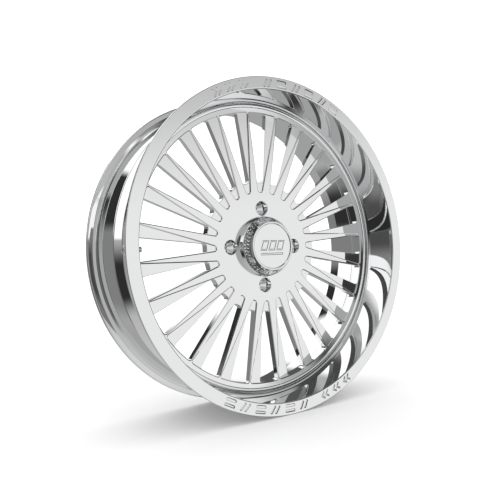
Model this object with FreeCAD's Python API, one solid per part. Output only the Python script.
"""Two-piece forged wheel for a light off-road racing car, with its centre cap and tyre valve.

Row frame, millimetres: +Y runs along the axle towards the vehicle, +Z is up, and the origin is the
centre of the flat face that bolts against the hub.  The show face looks towards -Y.  Seen from the
front, +X is to the right and angles run anticlockwise from it.
"""
import FreeCAD
import Part
import math
import os

Vector = FreeCAD.Vector

# ---- driving dimensions -------------------------------------------------------------------------
RIM_RADIUS = 324.3          # outside of both flanges
RIM_WIDTH = 203.0           # overall, front lip face to rear flange face
FACE_TO_LIP = 114.5         # hub mounting face to front lip face
SEAT_RADIUS = 307.0         # tyre bead seats at their heels (a 24 inch rim)
WELL_RADIUS = 287.0         # drop centre, outside
WELL_BORE = 281.05          # drop centre, inside, where the disc is let in
LIP_BORE = 300.0            # inside edge of the flat lip, front and rear

DISC_FRONT = 75.0           # lip face to disc front face
DISC_BACK = 97.0            # lip face to the back of the disc's outer ring
SHOULDER = 79.5             # lip face to the shoulder that locates the disc
SPOKE_COUNT = 24
POCKET_STEP = 2.2           # ledge below the disc's front face
HUB_TIP_RADIUS = 111.4      # inner end of the pockets
WINDOW_INNER = 131.5        # inner end of the through windows
WINDOW_OUTER = 274.0        # outer end of pockets and windows

LUG_COUNT = 4
LUG_PCD = 156.0
LUG_HOLE = 6.5
LUG_SINK = 14.75            # counterbore for the nut and its socket
LUG_SINK_DEPTH = 12.0
PILOT_RADIUS = 65.55        # hub pilot bore, open at the back
PILOT_DEPTH = 14.0
CAP_BORE = 58.0             # bore that takes the centre cap

CAP_HEIGHT = 33.0           # centre cap above the disc face
CAP_BASE = 61.8
CAP_TOP = 48.5
CAP_SPIGOT = 57.6
O_RING_WIRE = 1.4           # section radius of each O-ring
INSERT_RADIUS = 44.5

VALVE_FROM_LIP = 60.0       # lip face to valve axis
VALVE_SEAT_OUT = 301.0      # spot face on the tyre side, from the wheel axis
VALVE_SEAT_IN = 295.0       # spot face on the dish side
VALVE_HOLE = 5.75
VALVE_THREAD = 3.95
THREAD_PITCH = 0.794        # 32 threads to the inch
STEM_TIP = 26.0             # from the tyre-side spot face

FIT = 0.1                   # radial gap between disc and barrel


# ---- helpers --------------------------------------------------------------------------------------
def depth(from_lip):
    """Row-frame y of a depth measured from the front lip face."""
    return from_lip - FACE_TO_LIP


def rounded_wire(corners, place):
    """Closed wire through corners (a, b, radius), each corner replaced by a tangent arc."""
    points = [Vector(c[0], c[1], 0) for c in corners]
    radii = [c[2] if len(c) > 2 else 0.0 for c in corners]
    edges = []
    ends = []
    for i, here in enumerate(points):
        back = (points[i - 1] - here).normalize()
        ahead = (points[(i + 1) % len(points)] - here).normalize()
        if radii[i] == 0.0:
            ends.append((here, here, None))
            continue
        half = back.getAngle(ahead) / 2
        reach = radii[i] / math.tan(half)
        bisector = (back + ahead).normalize()
        centre = here + bisector * (radii[i] / math.sin(half))
        ends.append((here + back * reach, here + ahead * reach, centre - bisector * radii[i]))
    for i, (start, finish, middle) in enumerate(ends):
        if middle is not None:
            edges.append(Part.Arc(place(start), place(middle), place(finish)).toShape())
        following = ends[(i + 1) % len(ends)][0]
        if finish.distanceToPoint(following) > 1e-6:
            edges.append(Part.LineSegment(place(finish), place(following)).toShape())
    return Part.Wire(Part.__sortEdges__(edges))


def turned(corners):
    """Solid of revolution about Y from corners (radius, y, corner radius)."""
    face = Part.Face(rounded_wire(corners, lambda p: Vector(p.x, p.y, 0)))
    return face.revolve(Vector(0, 0, 0), Vector(0, 1, 0), 360)


def turned_from_lip(corners):
    """The same, with y given as a depth from the front lip face."""
    return turned([(c[0], depth(c[1])) + tuple(c[2:]) for c in corners])


def prism(corners, low, high):
    """Prism along Y from corners (x, z, corner radius), from y = low to y = high."""
    face = Part.Face(rounded_wire(corners, lambda p: Vector(p.x, low, p.y)))
    return face.extrude(Vector(0, high - low, 0))


def cylinder(radius, low, high, x=0.0, z=0.0):
    return Part.makeCylinder(radius, high - low, Vector(x, low, z), Vector(0, 1, 0))


def spun(shape, degrees):
    """Copy turned anticlockwise, as seen from the front."""
    copy = shape.copy()
    copy.rotate(Vector(0, 0, 0), Vector(0, -1, 0), degrees)
    return copy


def around(shape, count, start=0.0):
    return [spun(shape, start + 360.0 * k / count) for k in range(count)]


def on_valve_axis(shape):
    """Move a piece from its own axis, +Y from the tyre side, to the valve's place in the rim."""
    copy = shape.copy()
    copy.rotate(Vector(0, 0, 0), Vector(0, 0, 1), -90)
    copy.translate(Vector(-VALVE_SEAT_OUT, depth(VALVE_FROM_LIP), 0))
    return copy


# ---- rim ------------------------------------------------------------------------------------------
def rim_barrel():
    tyre_side = [
        (RIM_RADIUS, 0.0, 1.2),
        (RIM_RADIUS, 6.5, 2.5),
        (315.0, 9.5, 6.0),
        (SEAT_RADIUS + 0.2, 14.0, 5.0),
        (305.3, 36.0, 3.0),
        (306.8, 40.0, 2.5),
        (302.0, 45.5, 3.0),
        (302.0, 71.0, 4.0),
        (WELL_RADIUS, 82.0, 5.0),
        (WELL_RADIUS, 106.0, 6.0),
        (301.2, 117.5, 4.0),
        (SEAT_RADIUS + 0.2, 190.0, 4.0),
        (313.6, 194.0, 2.0),
        (RIM_RADIUS, 195.5, 2.5),
        (RIM_RADIUS, RIM_WIDTH, 1.5),
    ]
    inside = [
        (LIP_BORE, RIM_WIDTH, 2.5),
        (296.0, 170.0, 12.0),
        (296.0, 121.5, 8.0),
        (WELL_BORE, 109.5, 5.0),
        (WELL_BORE, SHOULDER),
        (293.0, SHOULDER),
        (293.0, 71.0, 8.0),
        (295.3, 36.0, 1000.0),
        (LIP_BORE, 0.0, 2.5),
    ]
    barrel = turned_from_lip(tyre_side + inside)
    y = depth(VALVE_FROM_LIP)
    sideways = Vector(-1, 0, 0)
    hole = Part.makeCylinder(VALVE_HOLE, 40, Vector(-280, y, 0), sideways)
    outer_seat = Part.makeCylinder(9.5, 10, Vector(-VALVE_SEAT_OUT, y, 0), sideways)
    inner_seat = Part.makeCylinder(9.5, VALVE_SEAT_IN - 285, Vector(-285, y, 0), sideways)
    return barrel.cut(Part.makeCompound([hole, outer_seat, inner_seat]))


# ---- disc -----------------------------------------------------------------------------------------
def side_line(u):
    """Half width of a window at distance u from the axle: both its sides are straight."""
    return 7.1 + 0.0973 * (u - 119.8)


def ledge_line(u):
    """The ledge's far side leaves the window near the hub and leans away from it."""
    return 5.2 + 0.2735 * (u - 119.9)


def on_circle(line, radius):
    """Distance u at which a side line meets a circle about the axle."""
    u = radius
    for _ in range(20):
        u = math.sqrt(radius ** 2 - line(u) ** 2)
    return u


def pocket(inner, far_side, low, high, tip_radii):
    """One tapered pocket along +X: window side at +z, far side at -z, arc outer end."""
    u_near = on_circle(side_line, WINDOW_OUTER)
    u_far = on_circle(far_side, WINDOW_OUTER)
    overshoot = 8.0
    corners = [
        (inner, side_line(inner), tip_radii[0]),
        (inner, -far_side(inner), tip_radii[1]),
        (u_far + overshoot, -far_side(u_far + overshoot)),
        (u_near + overshoot, side_line(u_near + overshoot)),
    ]
    blank = prism(corners, low, high)
    trimmed = blank.common(cylinder(WINDOW_OUTER, low - 1, high + 1))
    upright = [e for e in trimmed.Edges if is_outer_corner(e)]
    return trimmed.makeFillet(4.5, upright)


def is_outer_corner(edge):
    a = edge.Vertexes[0].Point
    b = edge.Vertexes[-1].Point
    same_place = abs(a.x - b.x) < 0.01 and abs(a.z - b.z) < 0.01
    return same_place and math.hypot(a.x, a.z) > WINDOW_OUTER - 1


def centre_disc():
    blank = turned_from_lip([
        (CAP_BORE, DISC_FRONT, 0.6),
        (283.6, DISC_FRONT, 0.8),
        (284.6, 73.6, 0.5),
        (287.4, 72.7, 2.2),
        (291.0, 74.6, 2.4),
        (291.0, SHOULDER),
        (WELL_BORE - FIT, SHOULDER),
        (WELL_BORE - FIT, DISC_BACK, 0.8),
        (WINDOW_OUTER, DISC_BACK, 1.5),
        (WINDOW_OUTER, 88.5, 4.0),
        (138.0, 91.0, 6.0),
        (97.5, FACE_TO_LIP, 1.2),
        (PILOT_RADIUS, FACE_TO_LIP, 0.8),
        (PILOT_RADIUS, FACE_TO_LIP - PILOT_DEPTH),
        (CAP_BORE, FACE_TO_LIP - PILOT_DEPTH, 0.5),
    ])
    face = depth(DISC_FRONT)
    ledge = pocket(HUB_TIP_RADIUS, ledge_line, face - 5, face + POCKET_STEP, (4.4, 4.4))
    window = pocket(WINDOW_INNER, side_line, face - 5, depth(DISC_BACK) + 5, (3.0, 6.0))
    cone_depth = (LUG_SINK - LUG_HOLE) / math.tan(math.radians(30))
    lug = turned([
        (0, face - 5),
        (LUG_SINK, face - 5),
        (LUG_SINK, face + LUG_SINK_DEPTH),
        (LUG_HOLE, face + LUG_SINK_DEPTH + cone_depth),
        (LUG_HOLE, 5),
        (0, 5),
    ])
    lug.translate(Vector(LUG_PCD / 2, 0, 0))
    cutters = around(ledge, SPOKE_COUNT) + around(window, SPOKE_COUNT) + around(lug, LUG_COUNT)
    return blank.cut(Part.makeCompound(cutters))


def weld_bead():
    """Fillet weld that joins the back of the disc to the drop centre, with a crown of four flats."""
    leg = 4.5
    crown = 1.1
    flats = 4
    bore = WELL_BORE - 0.05
    heel = Vector(bore, depth(DISC_BACK), 0)
    on_disc = heel + Vector(-leg, 0, 0)
    on_bore = heel + Vector(0, leg, 0)
    outward = Vector(-1, 1, 0).normalize()
    corners = [on_bore, heel]
    for i in range(flats):
        share = i / flats
        swell = crown * (1 - (2 * share - 1) ** 2)
        corners.append(on_disc + (on_bore - on_disc) * share + outward * swell)
    section = Part.makePolygon(corners + corners[:1])
    return Part.Face(section).revolve(Vector(0, 0, 0), Vector(0, 1, 0), 360)


# ---- centre cap -----------------------------------------------------------------------------------
CAP_FRONT = DISC_FRONT - CAP_HEIGHT
CAP_FLOOR = CAP_FRONT + 4.0
CAP_WALL_BACK = CAP_FLOOR + 4.0
O_RING_DEPTHS = (80.0, 86.0)
SCREW_COUNT = 3
SCREW_CIRCLE = 34.0


def cap_body():
    shell = turned_from_lip([
        (0, CAP_FLOOR),
        (INSERT_RADIUS + 0.15, CAP_FLOOR),
        (INSERT_RADIUS + 0.15, CAP_FRONT, 0.4),
        (CAP_TOP, CAP_FRONT, 1.6),
        (51.0, 46.0, 4.0),
        (58.0, 55.5, 6.0),
        (60.8, 66.0, 6.0),
        (CAP_BASE, DISC_FRONT - 0.05, 0.3),
        (CAP_SPIGOT, DISC_FRONT - 0.05),
        (CAP_SPIGOT, 91.0, 0.8),
        (53.5, 91.0, 0.5),
        (53.5, 62.0, 8.0),
        (46.0, CAP_WALL_BACK, 3.0),
        (0, CAP_WALL_BACK),
    ])
    groove_floor = CAP_SPIGOT - 2 * O_RING_WIRE
    grooves = []
    for middle in O_RING_DEPTHS:
        low = depth(middle) - O_RING_WIRE - 0.15
        high = depth(middle) + O_RING_WIRE + 0.15
        grooves.append(cylinder(CAP_SPIGOT + 5, low, high).cut(cylinder(groove_floor, low, high)))
    hole = cylinder(1.7, depth(CAP_FLOOR) - 1, depth(CAP_WALL_BACK) + 1, SCREW_CIRCLE)
    return shell.cut(Part.makeCompound(grooves + around(hole, SCREW_COUNT, 90)))


def cap_o_rings():
    middle = CAP_SPIGOT - O_RING_WIRE + 0.15
    rings = []
    for from_lip in O_RING_DEPTHS:
        rings.append(Part.makeTorus(middle, O_RING_WIRE, Vector(0, depth(from_lip), 0), Vector(0, 1, 0)))
    return Part.makeCompound(rings)


def cap_insert():
    plate = turned_from_lip([
        (0, CAP_FRONT + 0.9),
        (INSERT_RADIUS, CAP_FRONT + 0.9, 0.5),
        (INSERT_RADIUS, CAP_FLOOR, 0.2),
        (0, CAP_FLOOR),
    ])
    hole = cylinder(1.55, depth(CAP_FLOOR) - 2.3, depth(CAP_FLOOR) + 1, SCREW_CIRCLE)
    return plate.cut(Part.makeCompound(around(hole, SCREW_COUNT, 90)))


def cap_insert_screws():
    head_back = CAP_WALL_BACK + 1.9
    screw = turned_from_lip([
        (0, CAP_FLOOR - 2.1),
        (1.45, CAP_FLOOR - 2.1, 0.3),
        (1.45, CAP_WALL_BACK),
        (2.8, CAP_WALL_BACK, 0.1),
        (2.8, head_back, 0.6),
        (0, head_back),
    ])
    flat = 1.0
    socket = [(flat / math.cos(math.pi / 6) * math.cos(math.radians(60 * k)),
               flat / math.cos(math.pi / 6) * math.sin(math.radians(60 * k))) for k in range(6)]
    screw = screw.cut(prism(socket, depth(head_back) - 1.2, depth(head_back) + 1))
    screw.translate(Vector(SCREW_CIRCLE, 0, 0))
    return Part.makeCompound(around(screw, SCREW_COUNT, 90))


# ---- valve: each piece is made on +Y, from the tyre side (negative) to the tip -------------------------
def threaded_side(low, high, direction):
    """Corners of a row of thread crests from low to high, root to root."""
    root = VALVE_THREAD - 0.4
    count = int((high - low) / THREAD_PITCH)
    corners = []
    for k in range(count):
        start = low + k * THREAD_PITCH
        corners.append((root, start))
        corners.append((VALVE_THREAD, start + THREAD_PITCH * 0.4))
        corners.append((VALVE_THREAD, start + THREAD_PITCH * 0.6))
    corners.append((root, low + count * THREAD_PITCH))
    return corners if direction > 0 else corners[::-1]


HEAD_SEAL = 2.2             # rubber under the head
HEAD_THICK = 3.0
CORE_BORE = 1.95
CORE_THREAD = 2.75
WALL = VALVE_SEAT_OUT - VALVE_SEAT_IN
NUT_BOTTOM = WALL + 2.8
NUT_TOP = NUT_BOTTOM + 5.0


def valve_stem():
    return turned([
        (CORE_BORE, -HEAD_SEAL - HEAD_THICK),
        (8.0, -HEAD_SEAL - HEAD_THICK, 0.8),
        (8.0, -HEAD_SEAL, 0.3),
        (VALVE_THREAD, -HEAD_SEAL),
        (VALVE_THREAD, WALL + 2.0),
        *threaded_side(WALL + 2.4, STEM_TIP - 1.2, 1),
        (3.2, STEM_TIP - 0.3),
        (3.0, STEM_TIP),
        (CORE_THREAD, STEM_TIP),
        (CORE_THREAD, 19.2),
        (CORE_BORE, 17.6),
    ])


def valve_inner_seal():
    """Rubber under the valve head, with a spigot that fills the hole."""
    return turned([
        (VALVE_THREAD + 0.1, -HEAD_SEAL),
        (8.0, -HEAD_SEAL, 0.5),
        (8.0, 0),
        (VALVE_HOLE - 0.15, 0),
        (VALVE_HOLE - 0.15, 3.0, 0.4),
        (VALVE_THREAD + 0.1, 3.0),
    ])


def valve_outer_seal():
    return turned([
        (VALVE_THREAD + 0.1, WALL),
        (7.8, WALL),
        (7.8, WALL + 1.6, 0.5),
        (VALVE_THREAD + 0.1, WALL + 1.6),
    ])


def valve_washer():
    return turned([
        (VALVE_THREAD + 0.2, WALL + 1.6),
        (8.2, WALL + 1.6, 0.2),
        (8.2, NUT_BOTTOM, 0.3),
        (VALVE_THREAD + 0.2, NUT_BOTTOM),
    ])


def valve_nut():
    across_flats = 12.0
    radius = across_flats / 2 / math.cos(math.pi / 6)
    hexagon = [(radius * math.cos(math.radians(60 * k)), radius * math.sin(math.radians(60 * k)))
               for k in range(6)]
    chamfered = turned([
        (VALVE_THREAD + 0.06, NUT_BOTTOM),
        (radius - 0.5, NUT_BOTTOM),
        (radius, NUT_BOTTOM + 0.35),
        (radius, NUT_TOP - 0.35),
        (radius - 0.5, NUT_TOP),
        (VALVE_THREAD + 0.06, NUT_TOP),
    ])
    return chamfered.common(prism(hexagon, NUT_BOTTOM - 1, NUT_TOP + 1))


def core_swivel():
    """Threaded plug that screws the core down, with flats for the core key."""
    plug = turned([(1.2, 20.6), (2.65, 20.6), (2.65, 24.9, 0.2), (1.2, 24.9)])
    side = Part.makeBox(6, 3, 3, Vector(-3, 23.1, 1.55))
    other = Part.makeBox(6, 3, 3, Vector(-3, 23.1, -4.55))
    return plug.cut(Part.makeCompound([side, other]))


def core_barrel():
    return turned([
        (0.6, 8.5),
        (1.7, 8.5, 0.2),
        (1.7, 19.45),
        (2.5, 19.45),
        (2.5, 20.45),
        (1.05, 20.45),
        (1.05, 9.5),
        (0.6, 9.5),
    ])


def core_gasket():
    return turned([(1.78, 17.9), (2.0, 17.9), (2.62, 19.15), (2.62, 19.38), (1.78, 19.38)])


def core_pin():
    """Pin with its button at the tip, a collar for the spring and an upset lower end."""
    return turned([
        (0, 5.6),
        (0.9, 5.6, 0.2),
        (0.9, 6.6),
        (0.45, 6.6),
        (0.45, 18.1),
        (0.95, 18.1),
        (0.95, 18.6),
        (0.45, 18.6),
        (0.45, 24.9),
        (0.9, 24.9),
        (0.9, 25.8, 0.2),
        (0, 25.8),
    ])


def core_cup():
    return turned([(0.5, 6.65), (1.5, 6.65), (1.5, 8.45, 0.3), (0.5, 8.45)])


def core_spring():
    wire = 0.12
    low = 9.55 + wire
    high = 18.05 - wire
    helix = Part.makeHelix(1.05, high - low, 0.76)
    section = Part.Wire(Part.Circle(Vector(0.76, 0, 0), Vector(0, 1, 0), wire).toShape())
    coil = Part.Wire(helix.Edges).makePipeShell([section], True, True)
    coil.rotate(Vector(0, 0, 0), Vector(1, 0, 0), -90)
    coil.translate(Vector(0, low, 0))
    return coil


CAP_MOUTH = 15.6
CAP_INSIDE = STEM_TIP + 1.1
CAP_CROWN = CAP_INSIDE + 1.5


def valve_cap():
    cap = turned([
        (VALVE_THREAD + 0.12, CAP_MOUTH),
        (5.0, CAP_MOUTH, 0.3),
        (5.0, CAP_CROWN, 1.0),
        (0, CAP_CROWN),
        (0, CAP_INSIDE),
        (VALVE_THREAD + 0.12, CAP_INSIDE),
    ])
    groove = cylinder(0.42, CAP_MOUTH + 1.2, CAP_CROWN - 2.0, 5.1)
    return cap.cut(Part.makeCompound(around(groove, 24)))


def valve_cap_seal():
    return turned([
        (1.5, STEM_TIP + 0.05),
        (3.9, STEM_TIP + 0.05),
        (3.9, CAP_INSIDE - 0.05),
        (1.5, CAP_INSIDE - 0.05),
    ])


# ---- write one file per piece ---------------------------------------------------------------------
WHEEL_PIECES = [rim_barrel, centre_disc, weld_bead, cap_body, cap_insert, cap_insert_screws, cap_o_rings]
VALVE_PIECES = [
    valve_stem, valve_inner_seal, valve_outer_seal, valve_washer, valve_nut, core_swivel, core_barrel,
    core_gasket, core_pin, core_cup, core_spring, valve_cap, valve_cap_seal,
]

os.makedirs("parts", exist_ok=True)
total = 0.0
for make in WHEEL_PIECES + VALVE_PIECES:
    piece = make()
    if make in VALVE_PIECES:
        piece = on_valve_axis(piece)
    bad = [s for s in piece.Solids if not s.isValid() or s.Volume <= 0]
    print(f"{make.__name__:20s} solids {len(piece.Solids)}  volume {piece.Volume / 1000:10.3f} cm3"
          f"{'  NOT VALID' if bad or not piece.Solids else ''}")
    total += piece.Volume
    piece.exportStep(f"parts/{make.__name__}.step")
print(f"total {total / 1e6:.3f} litres")
